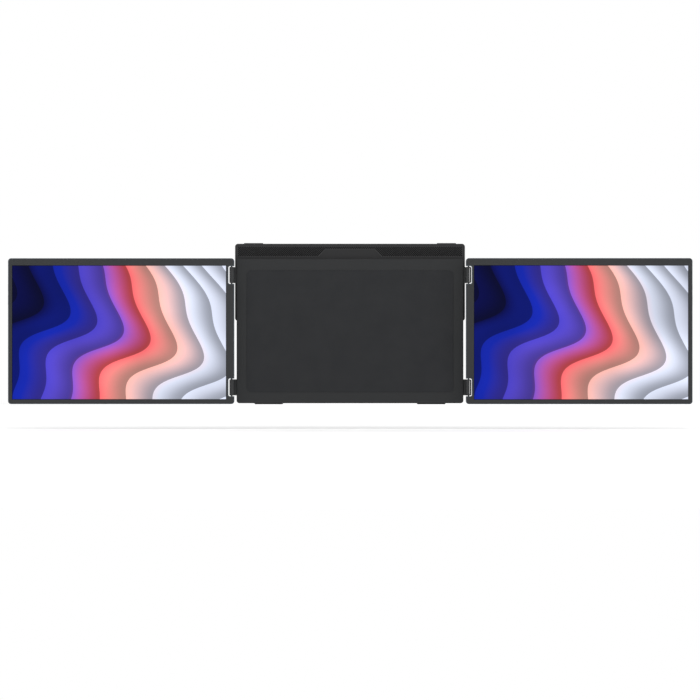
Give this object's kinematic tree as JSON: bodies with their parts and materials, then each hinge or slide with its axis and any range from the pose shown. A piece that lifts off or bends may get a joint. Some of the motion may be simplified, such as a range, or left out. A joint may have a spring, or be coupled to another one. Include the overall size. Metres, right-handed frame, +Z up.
{
  "type": "laptop screen extender",
  "caption": "Slim side screens hinged on a centre frame that hangs behind a portable computer's lid, with a rear flip stand whose perforated end stands above the frame.",
  "frame": {"origin": "centre of the front pad's front face", "axes": "+X to the viewer's right along the screens, +Y to the back, +Z up; screens flat open"},
  "size_m": [0.9666, 0.0349, 0.2283],
  "materials": {
    "shell": "satin anodised aluminium",
    "bezel": "fine matte moulding",
    "display": "lit display behind an anti-glare film",
    "panel_metal": "light guide and films in a white frame",
    "board": "solder mask",
    "cable_film": "polyimide film",
    "screw": "black zinc",
    "socket": "drawn nickel-plated steel",
    "switch": "moulded",
    "key": "satin moulding",
    "speaker": "moulded",
    "magnet": "nickel plate",
    "hinge_metal": "black die-cast zinc",
    "pin_metal": "ground steel",
    "arm": "satin black paint on die-cast zinc",
    "frame_plastic": "fine matte moulding",
    "chassis": "pressed sheet",
    "pad": "matt silicone",
    "rubber": "matt",
    "stand": "satin powder coat",
    "strip": "perforated sheet, satin paint"
  },
  "bodies": {
    "frame": {"arm_screws": "screw", "bracket_screws": "screw", "frame_chassis": "chassis", "frame_cover_screws": "screw", "frame_feet": "rubber", "frame_front_cover": "frame_plastic", "frame_magnets": "magnet", "frame_rear_cover": "frame_plastic", "front_pad": "pad", "left_lower_arm": "arm", "left_upper_arm": "arm", "pad_magnets": "magnet", "right_lower_arm": "arm", "right_upper_arm": "arm", "stand_left_bracket": "hinge_metal", "stand_right_bracket": "hinge_metal", "stand_rods": "pin_metal"},
    "stand": {"stand_left_foot": "rubber", "stand_plate": "stand", "stand_right_foot": "rubber", "stand_strip": "strip"},
    "left_screen": {"left_rear_cover": "shell", "left_bezel": "bezel", "left_display": "display", "left_backlight": "panel_metal", "left_driver_board": "board", "left_display_cable": "cable_film", "left_control_board": "board", "left_board_screws": "screw", "left_usb_c_sockets": "socket", "left_mini_hdmi_socket": "socket", "left_button_switches": "switch", "left_speaker": "speaker", "left_closure_magnets": "magnet", "left_hinge_blocks": "hinge_metal", "left_hinge_screws": "screw", "left_hinge_pins": "pin_metal"},
    "left_power": {"left_power_button": "key"},
    "left_menu": {"left_menu_rocker": "key"},
    "right_screen": {"right_rear_cover": "shell", "right_bezel": "bezel", "right_display": "display", "right_backlight": "panel_metal", "right_driver_board": "board", "right_display_cable": "cable_film", "right_control_board": "board", "right_board_screws": "screw", "right_usb_c_sockets": "socket", "right_mini_hdmi_socket": "socket", "right_button_switches": "switch", "right_speaker": "speaker", "right_closure_magnets": "magnet", "right_hinge_blocks": "hinge_metal", "right_hinge_screws": "screw", "right_hinge_pins": "pin_metal"},
    "right_power": {"right_power_button": "key"},
    "right_menu": {"right_menu_rocker": "key"}
  },
  "joints": [
    {"name": "left_screen_fold", "type": "hinge", "parent": "frame", "child": "left_screen", "pos_m": [-0.1672, -0.0053, 0], "axis": [0, 0, 1], "range_deg": [-10, 180]},
    {"name": "left_power_press", "type": "slide", "parent": "left_screen", "child": "left_power", "axis": [1, 0, 0], "range_m": [0, 0.00035], "stiffness_N_per_m": 800},
    {"name": "left_menu_rock", "type": "hinge", "parent": "left_screen", "child": "left_menu", "pos_m": [-0.48065, -0.00485, 0.044], "axis": [0, 1, 0], "range_deg": [-3, 3], "stiffness_Nm_per_rad": 0.1},
    {"name": "right_screen_fold", "type": "hinge", "parent": "frame", "child": "right_screen", "pos_m": [0.1672, -0.0151, 0], "axis": [0, 0, -1], "range_deg": [-10, 180]},
    {"name": "right_power_press", "type": "slide", "parent": "right_screen", "child": "right_power", "axis": [-1, 0, 0], "range_m": [0, 0.00035], "stiffness_N_per_m": 800},
    {"name": "right_menu_rock", "type": "hinge", "parent": "right_screen", "child": "right_menu", "pos_m": [0.48065, -0.01465, 0.044], "axis": [0, 1, 0], "range_deg": [-3, 3], "stiffness_Nm_per_rad": 0.1},
    {"name": "stand_flip", "type": "hinge", "parent": "frame", "child": "stand", "pos_m": [0, 0.01215, 0.0114], "axis": [-1, 0, 0], "range_deg": [0, 180]}
  ]
}
